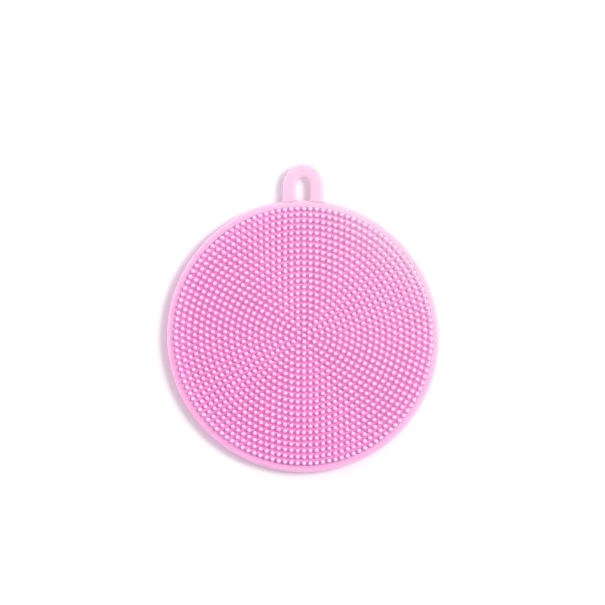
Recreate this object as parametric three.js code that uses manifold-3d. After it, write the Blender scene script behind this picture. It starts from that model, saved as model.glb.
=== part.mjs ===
// Round silicone cleansing pad: a web with bristles on both faces, a rim bead and a hang loop.
// Millimetres. The pad lies flat in the XY plane, +Z up, with the hang loop towards +Y.
// The origin is on the pad's axis, at the tips of the back bristles, which it rests on.
import * as THREE from 'three';
import { mergeVertices } from 'three/addons/utils/BufferGeometryUtils.js';
import Module from 'manifold-3d';

// Driving dimensions
const pad_diameter = 110;
const pad_thickness = 7.5; // over the tips of both bristle fields
const web_thickness = 1.8;
const rim_width = 2.7;
const rim_thickness = 3.0;
const rim_edge_radius = 1.15;
const bristle_ring_count = 21;
const bristle_ring_pitch = 2.45;
const bristles_per_ring_step = 6; // ring k holds six times k bristles
const bristle_tip_diameter = 1.4;
const bristle_base_diameter = 1.8;
const loop_reach = 69.9; // from the pad's axis to the loop's outer end
const loop_width = 16.6;
const loop_arm_width = 5.45;
const loop_end_height = 9.2; // depth of the elliptical outer end
const loop_crossbar_width = 5.4; // at the outer end of the hole
const loop_thickness = 2.5;
const loop_edge_chamfer = 0.6;
const part_gap = 0.3; // clearance between neighbouring solids

// Levels and radii that follow from them
const pad_radius = pad_diameter / 2;
const mid_level = pad_thickness / 2;
const web_top = mid_level + web_thickness / 2;
const rim_inner_radius = pad_radius - rim_width;
const hinge_radius = loop_thickness / 2;
const hinge_y = pad_radius + part_gap + hinge_radius;

const silicone = new THREE.Color().setRGB(0.95, 0.62, 0.83, THREE.SRGBColorSpace);
const pale_silicone = new THREE.Color().setRGB(0.98, 0.84, 0.94, THREE.SRGBColorSpace);

const wasm = await Module();
wasm.setup();

const group = new THREE.Group();

function add_mesh(name, geometry, color) {
  const material = new THREE.MeshStandardMaterial({ color, roughness: 0.45, metalness: 0 });
  const mesh = new THREE.Mesh(geometry, material);
  mesh.name = name;
  group.add(mesh);
}

// A solid of revolution about the Z axis from a closed outline of [radius, z] points.
function turned(outline, segments) {
  const points = outline.map(([radius, z]) => new THREE.Vector2(radius, z));
  const geometry = new THREE.LatheGeometry(points, segments);
  geometry.rotateX(Math.PI / 2); // the lathe turns about Y
  return geometry;
}

// The outline of a bar's section with its four corners rounded, counted anticlockwise.
function rounded_section(radius, z, width, height, corner, steps) {
  const outline = [];
  for (let quarter = 0; quarter < 4; quarter += 1) {
    const side_x = quarter === 0 || quarter === 3 ? 1 : -1;
    const side_z = quarter < 2 ? 1 : -1;
    for (let step = 0; step <= steps; step += 1) {
      const angle = (quarter + step / steps) * (Math.PI / 2);
      outline.push([
        radius + side_x * (width / 2 - corner) + corner * Math.cos(angle),
        z + side_z * (height / 2 - corner) + corner * Math.sin(angle),
      ]);
    }
  }
  outline.push(outline[0]);
  return outline;
}

function to_manifold(geometry) {
  const bare = geometry.clone();
  bare.deleteAttribute('normal');
  bare.deleteAttribute('uv');
  const merged = mergeVertices(bare, 1e-4);
  const mesh = new wasm.Mesh({
    numProp: 3,
    vertProperties: new Float32Array(merged.attributes.position.array),
    triVerts: new Uint32Array(merged.index.array),
  });
  return new wasm.Manifold(mesh);
}

function to_geometry(manifold) {
  const mesh = manifold.getMesh();
  const geometry = new THREE.BufferGeometry();
  geometry.setAttribute('position', new THREE.BufferAttribute(mesh.vertProperties, 3));
  geometry.setIndex(new THREE.BufferAttribute(mesh.triVerts, 1));
  geometry.computeVertexNormals();
  return geometry;
}

// Web: the plain sheet that carries both bristle fields
function make_web() {
  const web_radius = rim_inner_radius - part_gap;
  const web_bottom = mid_level - web_thickness / 2;
  const outline = [[0, web_bottom], [web_radius, web_bottom], [web_radius, web_top], [0, web_top]];
  add_mesh('web', turned(outline, 96), silicone);
}

// Rim: a bead with rounded edges, thicker than the web
function make_rim() {
  const centre_radius = pad_radius - rim_width / 2;
  const section = rounded_section(
    centre_radius, mid_level, rim_width, rim_thickness, rim_edge_radius, 3,
  );
  add_mesh('rim', turned(section, 96), pale_silicone);
}

// Bristle fields. Each ring of bristles is one low-relief ridge of the same height, on the ring's
// centre line. Its width gives it the volume of the round bristles that it stands for.
const bristle_height = (pad_thickness - web_thickness) / 2;
const tip_radius = bristle_tip_diameter / 2;
const base_radius = bristle_base_diameter / 2;
const bristle_volume = (Math.PI * bristle_height / 3)
  * (tip_radius ** 2 + tip_radius * base_radius + base_radius ** 2);
const ridge_width = (bristles_per_ring_step * bristle_volume)
  / (2 * Math.PI * bristle_ring_pitch * bristle_height);
const mean_diameter = (bristle_tip_diameter + bristle_base_diameter) / 2;
const ridge_tip_width = ridge_width * (bristle_tip_diameter / mean_diameter);
const ridge_base_width = ridge_width * (bristle_base_diameter / mean_diameter);

// Heights of a front bristle's foot and tip, or of a back bristle's tip and foot
function bristle_levels(side) {
  if (side === 'front') return { foot: web_top + part_gap, tip: pad_thickness };
  return { foot: pad_thickness - web_top - part_gap, tip: 0 };
}

function ring_segments(ring) {
  return 12 + 6 * Math.floor(ring / 5);
}

function make_bristle_ring(side, ring) {
  const { foot, tip } = bristle_levels(side);
  const radius = ring * bristle_ring_pitch;
  const outline = [
    [radius - ridge_base_width / 2, foot],
    [radius + ridge_base_width / 2, foot],
    [radius + ridge_tip_width / 2, tip],
    [radius - ridge_tip_width / 2, tip],
    [radius - ridge_base_width / 2, foot],
  ];
  if (side === 'back') outline.reverse();
  const name = `${side}_bristle_ring_${String(ring).padStart(2, '0')}`;
  add_mesh(name, turned(outline, ring_segments(ring)), silicone);
}

function make_centre_bristle(side) {
  const { foot, tip } = bristle_levels(side);
  const outline = [[0, foot], [base_radius, foot], [tip_radius, tip], [0, tip]];
  if (side === 'back') outline.reverse();
  add_mesh(`${side}_bristle_centre`, turned(outline, 12), silicone);
}

// Hang loop: two arms and a rounded outer end round a long hole. It turns about the hinge line
// at its root, so the root ends are round about that line.
function loop_outline() {
  const half_width = loop_width / 2 - loop_edge_chamfer;
  const end_height = loop_end_height - loop_edge_chamfer;
  const end_y = loop_reach - loop_end_height;
  const steps = 16;
  const shape = new THREE.Shape();
  shape.moveTo(-half_width, hinge_y);
  for (let step = 0; step <= steps; step += 1) {
    const angle = Math.PI * (1 - step / steps);
    shape.lineTo(half_width * Math.cos(angle), end_y + end_height * Math.sin(angle));
  }
  shape.lineTo(half_width, hinge_y);

  // The hole's outer end has an odd number of facets, so the middle one is square to Y
  const hole_half_width = loop_width / 2 - loop_arm_width + loop_edge_chamfer;
  const hole_end_y = loop_reach - loop_crossbar_width + loop_edge_chamfer - hole_half_width;
  const facets = 9;
  shape.lineTo(hole_half_width, hinge_y);
  for (let facet = 0; facet <= facets; facet += 1) {
    const angle = Math.PI * (facet / facets);
    shape.lineTo(hole_half_width * Math.cos(angle), hole_end_y + hole_half_width * Math.sin(angle));
  }
  shape.lineTo(-hole_half_width, hinge_y);
  return shape;
}

function loop_root(side) {
  const outline = [
    [0, 0],
    [hinge_radius - loop_edge_chamfer, 0],
    [hinge_radius, loop_edge_chamfer],
    [hinge_radius, loop_arm_width - loop_edge_chamfer],
    [hinge_radius - loop_edge_chamfer, loop_arm_width],
    [0, loop_arm_width],
  ];
  const geometry = turned(outline, 24);
  geometry.rotateY(Math.PI / 2); // the root's own axis lies along X
  const inner_x = loop_width / 2 - loop_arm_width;
  geometry.translate(side > 0 ? inner_x : -inner_x - loop_arm_width, hinge_y, mid_level);
  return to_manifold(geometry);
}

function make_hang_loop() {
  const blank = new THREE.ExtrudeGeometry(loop_outline(), {
    depth: loop_thickness - 2 * loop_edge_chamfer,
    bevelThickness: loop_edge_chamfer,
    bevelSize: loop_edge_chamfer,
    bevelSegments: 1,
  });
  blank.translate(0, 0, mid_level - loop_thickness / 2 + loop_edge_chamfer);

  // Square the bevelled ends of the arms off at the hinge line before the round roots go on
  const cut = new THREE.BoxGeometry(2 * loop_width, 2 * hinge_radius, 2 * loop_thickness);
  cut.translate(0, hinge_y - hinge_radius, mid_level);
  const loop = to_manifold(blank).subtract(to_manifold(cut)).add(loop_root(-1)).add(loop_root(1));
  add_mesh('hang_loop', to_geometry(loop), pale_silicone);
}

make_web();
make_rim();
for (const side of ['front', 'back']) {
  make_centre_bristle(side);
  for (let ring = 1; ring <= bristle_ring_count; ring += 1) make_bristle_ring(side, ring);
}
make_hang_loop();

export default group;
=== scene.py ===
"""Round silicone cleansing pad: the looks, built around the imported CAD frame. Metres, +Z up."""

import math
import random

import bpy
import numpy as np
from mathutils import Matrix, Vector


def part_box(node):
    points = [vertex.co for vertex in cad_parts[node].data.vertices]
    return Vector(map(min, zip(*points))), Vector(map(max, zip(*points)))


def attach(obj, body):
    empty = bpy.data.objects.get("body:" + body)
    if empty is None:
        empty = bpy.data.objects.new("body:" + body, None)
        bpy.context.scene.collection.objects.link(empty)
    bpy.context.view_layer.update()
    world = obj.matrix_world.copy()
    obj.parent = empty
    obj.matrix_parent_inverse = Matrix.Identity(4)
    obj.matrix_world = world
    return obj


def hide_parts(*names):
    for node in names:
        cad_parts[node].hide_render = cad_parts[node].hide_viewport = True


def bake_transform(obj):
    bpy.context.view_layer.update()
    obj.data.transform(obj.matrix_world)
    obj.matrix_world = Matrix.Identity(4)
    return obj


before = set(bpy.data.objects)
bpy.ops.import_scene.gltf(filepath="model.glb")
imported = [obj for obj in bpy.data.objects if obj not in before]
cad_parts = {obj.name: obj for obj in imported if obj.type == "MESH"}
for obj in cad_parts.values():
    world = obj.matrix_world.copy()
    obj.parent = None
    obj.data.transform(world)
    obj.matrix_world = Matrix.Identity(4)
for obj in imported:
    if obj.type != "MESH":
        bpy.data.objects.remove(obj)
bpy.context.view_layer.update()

MM = 0.001

# ---------------------------------------------------------------- sizes read from the frame
RIM_LOW, RIM_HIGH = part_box("rim")
WEB_LOW, WEB_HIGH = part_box("web")
LOOP_LOW, LOOP_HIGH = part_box("hang_loop")
FRONT_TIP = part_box("front_bristle_centre")[1].z
BACK_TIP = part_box("back_bristle_centre")[0].z
RING_NODES = sorted(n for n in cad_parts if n.startswith("front_bristle_ring_"))
RING_COUNT = len(RING_NODES)

PAD_RADIUS = RIM_HIGH.x
MID_Z = (RIM_LOW.z + RIM_HIGH.z) / 2
RIM_HALF_HEIGHT = (RIM_HIGH.z - RIM_LOW.z) / 2
WEB_HALF_HEIGHT = (WEB_HIGH.z - WEB_LOW.z) / 2
LOOP_HALF_THICKNESS = (LOOP_HIGH.z - LOOP_LOW.z) / 2
BRISTLE_HEIGHT = FRONT_TIP - WEB_HIGH.z

# ---------------------------------------------------------------- the pad's own measures
RING_PITCH = 2.45 * MM
BRISTLES_PER_STEP = 6  # ring k holds six times k bristles
BRISTLE_SIDES = 12
TIP_RADIUS = 0.70 * MM
TIP_DOME = 0.40 * MM
BASE_RADIUS = 0.90 * MM
BASE_FILLET = 0.24 * MM
BRISTLE_SINK = 0.2 * MM  # how far a bristle's closed end lies inside the web
RIM_WIDTH = 2.7 * MM
RIM_SHOULDER = 0.95 * MM
RIM_SLOPE_IN = 0.6 * MM  # reach of the rim's inner slope, inwards of the rim's inner radius
RIM_SLOPE_OUT = 0.45 * MM  # and outwards of it
RIM_SINK = 0.12 * MM  # depth of the slope's foot below the web's face
WEB_SINK = 0.5 * MM  # how far the web's edge lies inside the rim
WEB_RISE = 0.35 * MM
WEB_RISE_FROM = 11 * MM  # the rise starts this far inside the pad's edge
WEB_RISE_OVER = 8 * MM
PARTING_LINE = 0.05 * MM  # how far the mould's parting line stands out
LOOP_HALF_WIDTH = LOOP_HIGH.x
LOOP_ARM = 5.45 * MM
LOOP_END_HEIGHT = 9.2 * MM
LOOP_CROSSBAR = 5.4 * MM
LOOP_FILLET = 1.3 * MM
LOOP_LEAVES_RIM = 0.35 * MM  # beyond the start of the rim's shoulder
LOOP_EASING = 1.1 * MM  # length over which the band thins to its own thickness
FLOOR_GAP = 0.15 * MM

# How unevenly the bristles stand
POSITION_SPREAD = 0.02 * MM  # standard deviation along X and along Y
LEAN_SPREAD = 0.008  # standard deviation of the slope along X and along Y
WIDTH_SPREAD = 0.012  # standard deviation, as a share of the width
HEIGHT_LOSS = 0.012  # the most by which a bristle is short, as a share of its height


def warp(x, y):
    """How far the flexible pad lies out of flat at a point: two gentle waves, in metres."""
    broad = np.sin(x * 38.0 + 0.6) * np.cos(y * 31.0 - 0.4)
    slanting = np.sin((x + y) * 55.0 + 1.7)
    return (0.09 * broad + 0.05 * slanting) * MM


def smooth(share):
    """A share from 0 to 1, eased at both ends."""
    return share * share * (3 - 2 * share)


# ---------------------------------------------------------------- mesh helpers
def new_piece(name, points, faces, body="pad"):
    """A smooth-shaded mesh that rides on a body, and follows the pad's slight wave."""
    co = np.asarray(points, float)
    co[:, 2] += warp(co[:, 0], co[:, 1])
    mesh = bpy.data.meshes.new(name)
    mesh.from_pydata(co.tolist(), [], faces)
    mesh.validate()
    mesh.polygons.foreach_set("use_smooth", [True] * len(mesh.polygons))
    mesh.update()
    obj = bpy.data.objects.new(name, mesh)
    bpy.context.scene.collection.objects.link(obj)
    if body:
        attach(obj, body)
    return obj


def grid_faces(rows, columns, start=0, wrap_rows=False):
    """Quads between rows of points. Each row is a closed loop of columns points."""
    faces = []
    last = rows if wrap_rows else rows - 1
    for i in range(last):
        a = start + i * columns
        b = start + ((i + 1) % rows) * columns
        for j in range(columns):
            k = (j + 1) % columns
            faces.append((a + j, a + k, b + k, b + j))
    return faces


def flipped(faces):
    """The same faces, seen from the other side."""
    return [tuple(reversed(face)) for face in faces]


def turned(outline, segments, wrap):
    """Points and quads of an outline of (radius, z) turned round the pad's axis."""
    angles = np.linspace(0, 2 * math.pi, segments, endpoint=False)
    points = [
        (r * math.cos(a), r * math.sin(a), z)
        for r, z in outline
        for a in angles
    ]
    return points, grid_faces(len(outline), segments, wrap_rows=wrap)


def arc(cx, cz, radius, start, end, steps):
    """Points on an arc round (cx, cz), with the angles in degrees."""
    points = []
    for i in range(steps + 1):
        angle = math.radians(start + (end - start) * i / steps)
        points.append((cx + radius * math.cos(angle), cz + radius * math.sin(angle)))
    return points


# ---------------------------------------------------------------- web
def web_half_height(radius):
    """The web is flat and thickens a little over its last few rings, towards the rim."""
    share = min(1.0, max(0.0, (radius - (PAD_RADIUS - WEB_RISE_FROM)) / WEB_RISE_OVER))
    return WEB_HALF_HEIGHT + WEB_RISE * smooth(share)


def make_web():
    """The sheet between the bristles, with both faces and an edge sunk into the rim."""
    outer = PAD_RADIUS - RIM_WIDTH + WEB_SINK
    steps = 44
    radii = [outer * (i + 1) / steps for i in range(steps)]
    upper = [(r, MID_Z + web_half_height(r)) for r in radii]
    lower = [(r, MID_Z - web_half_height(r)) for r in reversed(radii)]
    segments = 120
    points, faces = turned(upper + lower, segments, wrap=False)
    top = len(points)
    points.append((0, 0, MID_Z + WEB_HALF_HEIGHT))
    points.append((0, 0, MID_Z - WEB_HALF_HEIGHT))
    last_row = (2 * steps - 1) * segments
    for j in range(segments):
        k = (j + 1) % segments
        faces.append((top, k, j))
        faces.append((top + 1, last_row + j, last_row + k))
    faces = flipped(faces)
    obj = new_piece("web_sheet", points, faces)
    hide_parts("web")
    return obj


# ---------------------------------------------------------------- rim
def rim_half_height(radius):
    """Half the rim's height at a radius: flat, then a round shoulder down to the outer edge."""
    over = radius - (PAD_RADIUS - RIM_SHOULDER)
    if over <= 0:
        return RIM_HALF_HEIGHT
    if over >= RIM_SHOULDER:
        return 0.0
    return RIM_HALF_HEIGHT - RIM_SHOULDER + math.sqrt(RIM_SHOULDER**2 - over**2)


def rim_outline():
    """Half section of the rim bead from its inner foot to the parting line, then mirrored."""
    inner = PAD_RADIUS - RIM_WIDTH
    h = RIM_HALF_HEIGHT
    foot = inner - RIM_SLOPE_IN
    slope_end = inner + RIM_SLOPE_OUT
    low = web_half_height(foot) - RIM_SINK
    half = []
    slope_steps = 9
    for i in range(slope_steps + 1):
        share = i / slope_steps
        half.append((foot + (slope_end - foot) * share, low + (h - low) * smooth(share)))
    half += arc(PAD_RADIUS - RIM_SHOULDER, h - RIM_SHOULDER, RIM_SHOULDER, 90, 6, steps=11)
    half += [
        (PAD_RADIUS, 0.10 * MM),
        (PAD_RADIUS + 0.3 * PARTING_LINE, 0.055 * MM),
        (PAD_RADIUS + PARTING_LINE, 0.02 * MM),
    ]
    lower = [(r, -z) for r, z in reversed(half)]
    return [(r, MID_Z + z) for r, z in half + lower]


def make_rim():
    """The bead round the pad's edge, with a fine mould parting line at mid height."""
    points, faces = turned(rim_outline(), segments=360, wrap=True)
    faces = flipped(faces)
    obj = new_piece("rim_bead", points, faces)
    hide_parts("rim")
    return obj


# ---------------------------------------------------------------- bristles
def bristle_profile():
    """(radius, height above the web) from the foot's fillet to the domed tip."""
    dome_foot = BRISTLE_HEIGHT - TIP_DOME
    profile = [
        (BASE_RADIUS + 0.32 * MM, -0.16 * MM),
        (BASE_RADIUS + 0.22 * MM, 0.01 * MM),
        (BASE_RADIUS + 0.09 * MM, 0.09 * MM),
        (BASE_RADIUS + 0.015 * MM, BASE_FILLET),
    ]
    for share in (0.3, 0.65, 1.0):
        radius = BASE_RADIUS + (TIP_RADIUS - BASE_RADIUS) * share
        profile.append((radius, BASE_FILLET + (dome_foot - BASE_FILLET) * share))
    squareness = 0.7
    for degrees in (30, 55, 75):
        a = math.radians(degrees)
        radius = TIP_RADIUS * math.cos(a) ** squareness
        profile.append((radius, dome_foot + TIP_DOME * math.sin(a)))
    return profile


BRISTLE_PROFILE = bristle_profile()


def add_bristle(points, faces, x, y, side, rng):
    """One bristle at (x, y), very slightly off in height, lean and turn, as moulded rubber is."""
    start = len(points)
    height_scale = 1 - HEIGHT_LOSS * rng.random()
    lean_x, lean_y = rng.gauss(0, LEAN_SPREAD), rng.gauss(0, LEAN_SPREAD)
    width_scale = 1 + rng.gauss(0, WIDTH_SPREAD)
    turn = rng.random() * math.tau / BRISTLE_SIDES
    rise = web_half_height(math.hypot(x, y)) - WEB_HALF_HEIGHT
    height_scale *= 1 - rise / BRISTLE_HEIGHT
    foot = MID_Z + side * (WEB_HALF_HEIGHT + rise)
    for radius, height in BRISTLE_PROFILE:
        z = height * height_scale
        cx, cy = x + lean_x * z, y + lean_y * z
        for j in range(BRISTLE_SIDES):
            a = turn + math.tau * j / BRISTLE_SIDES
            r = radius * width_scale
            points.append((cx + r * math.cos(a), cy + r * math.sin(a), foot + side * z))
    rows = len(BRISTLE_PROFILE)
    quads = grid_faces(rows, BRISTLE_SIDES, start)
    tip = len(points)
    z = BRISTLE_HEIGHT * height_scale
    points.append((x + lean_x * z, y + lean_y * z, foot + side * z))
    points.append((x, y, foot - side * BRISTLE_SINK))
    last = start + (rows - 1) * BRISTLE_SIDES
    for j in range(BRISTLE_SIDES):
        k = (j + 1) % BRISTLE_SIDES
        quads.append((last + j, last + k, tip))
        quads.append((start + k, start + j, tip + 1))
    if side < 0:
        quads = flipped(quads)
    faces.extend(quads)


def make_bristle_ring(face, ring):
    """Ring number ring of the front or back field: six times ring bristles, evenly spaced."""
    side = 1 if face == "front" else -1
    rng = random.Random(100 * ring + (7 if side > 0 else 3))
    points, faces = [], []
    count = max(1, BRISTLES_PER_STEP * ring)
    radius = ring * RING_PITCH
    toward_loop = math.radians(90)
    for i in range(count):
        a = toward_loop + math.tau * i / count
        jitter_x, jitter_y = rng.gauss(0, POSITION_SPREAD), rng.gauss(0, POSITION_SPREAD)
        x = radius * math.cos(a) + jitter_x
        y = radius * math.sin(a) + jitter_y
        add_bristle(points, faces, x, y, side, rng)
    suffix = f"ring_{ring:02d}" if ring else "centre"
    obj = new_piece(f"{face}_bristles_{suffix}", points, faces)
    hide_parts(f"{face}_bristle_{suffix}")
    return obj


# ---------------------------------------------------------------- hang loop
def loop_stations():
    """(inner point, outer point) pairs across the loop's band, from the left root to the right."""
    hole = LOOP_HALF_WIDTH - LOOP_ARM
    tip = LOOP_HIGH.y
    hole_end = tip - LOOP_CROSSBAR - hole
    outer_end = tip - LOOP_END_HEIGHT

    def fillet(beyond_rim):
        """How much wider the band is at a distance beyond the rim's edge."""
        d = min(max(beyond_rim, 0.0), LOOP_FILLET)
        return LOOP_FILLET - math.sqrt(LOOP_FILLET**2 - (LOOP_FILLET - d) ** 2)

    # The root: stations on circles round the pad's axis, closest together where the fillets start
    stations = []
    inside_edge = (-1.0, -0.75, -0.55, -0.4, -0.25, -0.12, -0.04)
    beyond_edge = (0.03, 0.1, 0.2, 0.34, 0.52, 0.76, 1.02, 1.3)
    for level in inside_edge + beyond_edge:
        beyond_rim = level * MM
        flare = fillet(beyond_rim)
        ends = []
        for x in (hole - flare, LOOP_HALF_WIDTH + flare):
            ends.append((-x, math.sqrt((PAD_RADIUS + beyond_rim) ** 2 - x**2)))
        stations.append(tuple(ends))

    # The straight part of the arm
    inner_start, outer_start = stations[-1]
    straight_steps = 6
    for i in range(1, straight_steps):
        share = i / straight_steps
        inner_y = inner_start[1] + (outer_end - inner_start[1]) * share
        outer_y = outer_start[1] + (outer_end - outer_start[1]) * share
        stations.append(((-hole, inner_y), (-LOOP_HALF_WIDTH, outer_y)))

    # The rounded end: an ellipse outside, the hole's own end inside
    end_part = []
    end_steps = 36
    for i in range(end_steps + 1):
        a = math.pi * (1 - i / end_steps)
        inner_y = outer_end + (hole_end - outer_end) * math.sin(a) ** 0.5
        inner = (hole * math.cos(a), inner_y + hole * math.sin(a))
        outer = (LOOP_HALF_WIDTH * math.cos(a), outer_end + LOOP_END_HEIGHT * math.sin(a))
        end_part.append((inner, outer))
    right_arm = [((-i[0], i[1]), (-o[0], o[1])) for i, o in reversed(stations)]
    return stations + end_part + right_arm


def band_section():
    """Section of the loop's band: (share across, share of half thickness), edges well rounded."""
    section = []
    steps = 40
    squareness = 0.74
    for i in range(steps):
        a = math.tau * (i + 0.5) / steps
        c, s = math.cos(a), math.sin(a)
        section.append((
            0.5 + 0.5 * math.copysign(abs(c) ** squareness, c),
            math.copysign(abs(s) ** squareness, s),
        ))
    return section


def band_half_thickness(radius):
    """The band leaves the rim's shoulder at the shoulder's own slope, so no crease shows."""
    start = PAD_RADIUS - RIM_SHOULDER + LOOP_LEAVES_RIM
    dive = 0.25  # inside that radius the band sinks into the rim at this slope
    if radius <= start:
        return rim_half_height(radius) - dive * (start - radius)
    if radius >= start + LOOP_EASING:
        return LOOP_HALF_THICKNESS
    high = rim_half_height(start)
    slope = -LOOP_LEAVES_RIM / math.sqrt(RIM_SHOULDER**2 - LOOP_LEAVES_RIM**2)
    t = (radius - start) / LOOP_EASING
    eased = high * (2 * t**3 - 3 * t**2 + 1) + LOOP_HALF_THICKNESS * (3 * t**2 - 2 * t**3)
    return eased + slope * LOOP_EASING * (t**3 - 2 * t**2 + t)


def make_hang_loop():
    """The flat loop, its fillets into the rim included."""
    points, section = [], band_section()
    stations = loop_stations()
    for inner, outer in stations:
        for across, up in section:
            x = inner[0] + (outer[0] - inner[0]) * across
            y = inner[1] + (outer[1] - inner[1]) * across
            points.append((x, y, MID_Z + up * band_half_thickness(math.hypot(x, y))))
    count = len(section)
    faces = grid_faces(len(stations), count)
    faces.append(tuple(reversed(range(count))))
    faces.append(tuple(range((len(stations) - 1) * count, len(stations) * count)))
    faces = flipped(faces)
    obj = new_piece("hang_loop_band", points, faces, body=None)
    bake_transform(obj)
    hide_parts("hang_loop")
    return obj


# ---------------------------------------------------------------- material
# Colours are linear red, green and blue. A rise is a list of (position across the pad, share of
# the painted lit-side colour) stops, from the lower left edge at 0 to the lit upper right edge at 1.
# Painted light: the colours pale towards the upper right, the side the light falls from.
PAINTED_LIGHT_SIDE = math.radians(45)
FIELD_PAINTED_LIGHT_RISE = ((0.5, 0.10), (0.75, 0.22), (0.87, 0.36), (0.95, 0.7))
EDGE_PAINTED_LIGHT_RISE = ((0.5, 0.42), (0.75, 0.64), (0.87, 0.88))
TIP_LIGHT = (0.98, 0.67, 0.92)
TIP_DEEP = (0.98, 0.64, 0.90)
# Painted shade: the colour at the bristles' foot, down between them.
FOOT_PAINTED_SHADE = (0.97, 0.43, 0.755)
FOOT_PAINTED_LIT = (0.97, 0.75, 0.84)
RIM_LIGHT = (0.97, 0.50, 0.72)
RIM_DEEP = (0.97, 0.47, 0.70)
RIM_PAINTED_LIT = (0.86, 0.63, 0.73)
# Painted shade: the deeper colour of the crease where the rim meets the web.
RIM_GROOVE_PAINTED_SHADE = (0.97, 0.42, 0.70)
# Painted shade: the bristles' colour deepens down towards the web, where shade falls between them.
FOOT_SHADE = (0.25 * MM, 1.9 * MM)  # depths below the tips at which the foot colour starts, is full
GROOVE_SHADE = (1.2 * MM, 2.6 * MM)  # the same for the groove colour, inwards from the pad's edge


def silicone(name, light, deep, lit_color, rise, glow_mm, seed, forward=0.0, foot=None, groove_painted_shade=None):
    """Translucent moulded silicone: soft glow inside, satin skin, faint cloudiness and mottle.

    Painted light: the colour pales across the pad towards the lit-side colour, where light falls.
    With a foot colour, painted shade also deepens it from the bristles' tips down to the web,
    between the bristles. With a groove colour, painted shade gives that colour to the rim's inner
    slope, where the rim meets the web.
    """
    material = bpy.data.materials.new(name)
    material.use_nodes = True
    nodes, links = material.node_tree.nodes, material.node_tree.links
    shader = nodes["Principled BSDF"]
    place = nodes.new("ShaderNodeTexCoord")

    cloud = noise(nodes, links, place, scale=95, detail=3, seed=seed)
    ramp = nodes.new("ShaderNodeValToRGB")
    ramp.color_ramp.elements[0].position = 0.32
    ramp.color_ramp.elements[0].color = (*deep, 1)
    ramp.color_ramp.elements[1].position = 0.68
    ramp.color_ramp.elements[1].color = (*light, 1)
    links.new(cloud, ramp.inputs["Fac"])
    color = ramp.outputs["Color"]
    # Painted shade: a foot colour deepens the bristles down to the web, between them.
    if foot:
        foot_shade_color = paint_light_across(nodes, links, place, foot, lit_color, rise)
        color = paint_shade_to_foot(nodes, links, place, color, foot_shade_color)
    else:
        color = paint_light_across(nodes, links, place, color, lit_color, rise)
    # Painted shade: a groove colour deepens the rim's inner slope, the crease by the web.
    if groove_painted_shade:
        groove_shade_color = paint_light_across(nodes, links, place, groove_painted_shade, lit_color, rise)
        color = paint_shade_in_groove(nodes, links, place, color, groove_shade_color)
    links.new(color, shader.inputs["Base Color"])

    mottle = noise(nodes, links, place, scale=900, detail=4)
    rough = nodes.new("ShaderNodeMapRange")
    rough.inputs["To Min"].default_value = 0.36
    rough.inputs["To Max"].default_value = 0.54
    links.new(mottle, rough.inputs["Value"])
    links.new(rough.outputs["Result"], shader.inputs["Roughness"])

    grain = noise(nodes, links, place, scale=5200, detail=2)
    bump = nodes.new("ShaderNodeBump")
    bump.inputs["Strength"].default_value = 0.12
    bump.inputs["Distance"].default_value = 0.03 * MM
    links.new(grain, bump.inputs["Height"])
    links.new(bump.outputs["Normal"], shader.inputs["Normal"])

    shader.inputs["Subsurface Weight"].default_value = 1.0
    shader.inputs["Subsurface Radius"].default_value = (1.0, 1.0, 1.0)
    shader.inputs["Subsurface Scale"].default_value = glow_mm * MM
    shader.inputs["Subsurface Anisotropy"].default_value = forward
    shader.inputs["IOR"].default_value = 1.41
    return material


def noise(nodes, links, place, scale, detail, seed=None):
    """A noise texture fixed to the piece. A seed makes it a slice of noise of its own."""
    texture = nodes.new("ShaderNodeTexNoise")
    if seed is not None:
        texture.noise_dimensions = "4D"
        texture.inputs["W"].default_value = seed
    texture.inputs["Scale"].default_value = scale
    texture.inputs["Detail"].default_value = detail
    links.new(place.outputs["Object"], texture.inputs["Vector"])
    return texture.outputs["Fac"]


def mixed(nodes, links, factor, first, second):
    """A colour between two others, each a node's output or a plain colour."""
    mix = nodes.new("ShaderNodeMix")
    mix.data_type = "RGBA"
    links.new(factor, mix.inputs["Factor"])
    for socket, color in (("A", first), ("B", second)):
        if isinstance(color, tuple):
            mix.inputs[socket].default_value = (*color, 1)
        else:
            links.new(color, mix.inputs[socket])
    return mix.outputs["Result"]


def paint_shade_to_foot(nodes, links, place, color, foot_shade_color):
    """Painted shade: mix a colour towards the foot colour by depth below the nearer plane of bristle
    tips.
    """
    split = nodes.new("ShaderNodeSeparateXYZ")
    links.new(place.outputs["Object"], split.inputs["Vector"])
    offset = nodes.new("ShaderNodeMath")
    offset.operation = "SUBTRACT"
    offset.inputs[1].default_value = MID_Z
    links.new(split.outputs["Z"], offset.inputs[0])
    height = nodes.new("ShaderNodeMath")
    height.operation = "ABSOLUTE"
    links.new(offset.outputs["Value"], height.inputs[0])
    depth = nodes.new("ShaderNodeMapRange")
    depth.interpolation_type = "SMOOTHSTEP"
    depth.inputs["From Min"].default_value = FRONT_TIP - MID_Z - FOOT_SHADE[0]
    depth.inputs["From Max"].default_value = FRONT_TIP - MID_Z - FOOT_SHADE[1]
    links.new(height.outputs["Value"], depth.inputs["Value"])
    return mixed(nodes, links, depth.outputs["Result"], color, foot_shade_color)


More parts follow.
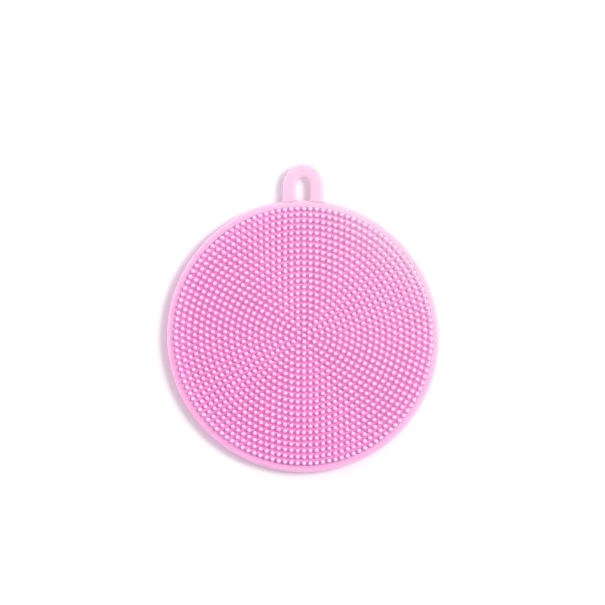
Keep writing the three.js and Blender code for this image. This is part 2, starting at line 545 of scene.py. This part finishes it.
def paint_shade_in_groove(nodes, links, place, color, groove_shade_color):
    """Painted shade: mix a colour towards the groove colour by distance in from the pad's edge."""
    flat = nodes.new("ShaderNodeVectorMath")
    flat.operation = "MULTIPLY"
    flat.inputs[1].default_value = (1, 1, 0)
    links.new(place.outputs["Object"], flat.inputs[0])
    radius = nodes.new("ShaderNodeVectorMath")
    radius.operation = "LENGTH"
    links.new(flat.outputs["Vector"], radius.inputs[0])
    inward = nodes.new("ShaderNodeMapRange")
    inward.interpolation_type = "SMOOTHSTEP"
    inward.inputs["From Min"].default_value = PAD_RADIUS - GROOVE_SHADE[0]
    inward.inputs["From Max"].default_value = PAD_RADIUS - GROOVE_SHADE[1]
    links.new(radius.outputs["Value"], inward.inputs["Value"])
    return mixed(nodes, links, inward.outputs["Result"], color, groove_shade_color)


# Painted light: a paler colour on the side of the pad that the light falls from.
def paint_light_across(nodes, links, place, color, lit_color, rise):
    """Painted light: mix a colour towards the lit-side one across the pad, by the stops of the rise.
    """
    along = nodes.new("ShaderNodeVectorMath")
    along.operation = "DOT_PRODUCT"
    along.inputs[1].default_value = (math.cos(PAINTED_LIGHT_SIDE), math.sin(PAINTED_LIGHT_SIDE), 0)
    links.new(place.outputs["Object"], along.inputs[0])
    share = nodes.new("ShaderNodeMapRange")
    share.inputs["From Min"].default_value = -PAD_RADIUS
    share.inputs["From Max"].default_value = PAD_RADIUS
    links.new(along.outputs["Value"], share.inputs["Value"])
    curve = nodes.new("ShaderNodeValToRGB")
    for position, level in rise:
        stop = curve.color_ramp.elements.new(position)
        stop.color = (level, level, level, 1)
    links.new(share.outputs["Result"], curve.inputs["Fac"])
    return mixed(nodes, links, curve.outputs["Color"], color, lit_color)


# ---------------------------------------------------------------- stage
def make_floor():
    """A plain pale floor, just under the lowest bristles."""
    bpy.ops.mesh.primitive_plane_add(size=6, location=(0, 0, BACK_TIP - FLOOR_GAP))
    floor = bpy.context.object
    floor.name = "floor"
    material = bpy.data.materials.new("floor_white")
    material.use_nodes = True
    shader = material.node_tree.nodes["Principled BSDF"]
    shader.inputs["Base Color"].default_value = (0.96, 0.96, 0.96, 1)
    shader.inputs["Roughness"].default_value = 0.9
    shader.inputs["Specular IOR Level"].default_value = 0.0
    floor.data.materials.append(material)


def add_softbox(name, azimuth, elevation, distance, size, energy):
    """A square area light, aimed at the pad from the given direction in degrees."""
    data = bpy.data.lights.new(name, "AREA")
    data.shape = "SQUARE"
    data.size = size
    data.energy = energy
    light = bpy.data.objects.new(name, data)
    turn, rise = math.radians(azimuth), math.radians(elevation)
    toward = Vector((
        math.cos(turn) * math.cos(rise),
        math.sin(turn) * math.cos(rise),
        math.sin(rise),
    ))
    light.location = toward * distance
    light.rotation_euler = toward.to_track_quat("Z", "Y").to_euler()
    bpy.context.scene.collection.objects.link(light)


def make_lights():
    """A bright even surround, two softboxes on the right, and a low weak one on the left."""
    world = bpy.data.worlds.new("studio")
    bpy.context.scene.world = world
    world.use_nodes = True
    background = world.node_tree.nodes["Background"]
    background.inputs["Color"].default_value = (0.95, 0.90, 1.0, 1)
    background.inputs["Strength"].default_value = 0.59
    add_softbox("softbox", azimuth=12, elevation=55, distance=3.0, size=1.1, energy=46)
    add_softbox("broad_right", azimuth=20, elevation=35, distance=3.0, size=4.0, energy=30)
    add_softbox("low_left", azimuth=162, elevation=12, distance=3.0, size=1.5, energy=40)


def make_camera():
    """Almost straight above, leaning a little towards the lower left, the loop pointing up."""
    tilt, toward = math.radians(6.52), math.radians(235.6)
    aim = Vector((-0.68 * MM, 13.24 * MM, FRONT_TIP))
    distance = 1.5
    back = Vector((
        math.sin(tilt) * math.cos(toward),
        math.sin(tilt) * math.sin(toward),
        math.cos(tilt),
    ))
    data = bpy.data.cameras.new("camera")
    data.sensor_width = 36
    data.lens = 221.6
    camera = bpy.data.objects.new("camera", data)
    right = Vector((0, 1, 0)).cross(back).normalized()
    up = back.cross(right)
    axes = Matrix((right, up, back)).transposed()
    camera.matrix_world = Matrix.Translation(aim + back * distance) @ axes.to_4x4()
    bpy.context.scene.collection.objects.link(camera)
    bpy.context.scene.camera = camera


# ---------------------------------------------------------------- assembly
bpy.context.scene.view_settings.view_transform = "Standard"
bpy.context.scene.cycles.max_bounces = 24
bpy.context.scene.cycles.diffuse_bounces = 16
make_camera()
make_lights()
make_floor()

bristle = silicone(
    "silicone_bristle", TIP_LIGHT, TIP_DEEP, FOOT_PAINTED_LIT, FIELD_PAINTED_LIGHT_RISE, glow_mm=0.4, seed=1.0, foot=FOOT_PAINTED_SHADE,
)
edge = silicone(
    "silicone_edge", RIM_LIGHT, RIM_DEEP, RIM_PAINTED_LIT, EDGE_PAINTED_LIGHT_RISE, glow_mm=1.5, seed=4.0, forward=0.5,
    groove_painted_shade=RIM_GROOVE_PAINTED_SHADE,
)

pieces = []
for face in ("front", "back"):
    for ring in range(RING_COUNT + 1):
        pieces.append((make_bristle_ring(face, ring), bristle))
pieces.append((make_web(), bristle))
pieces.append((make_rim(), edge))
pieces.append((make_hang_loop(), edge))
for piece, material in pieces:
    piece.data.materials.append(material)
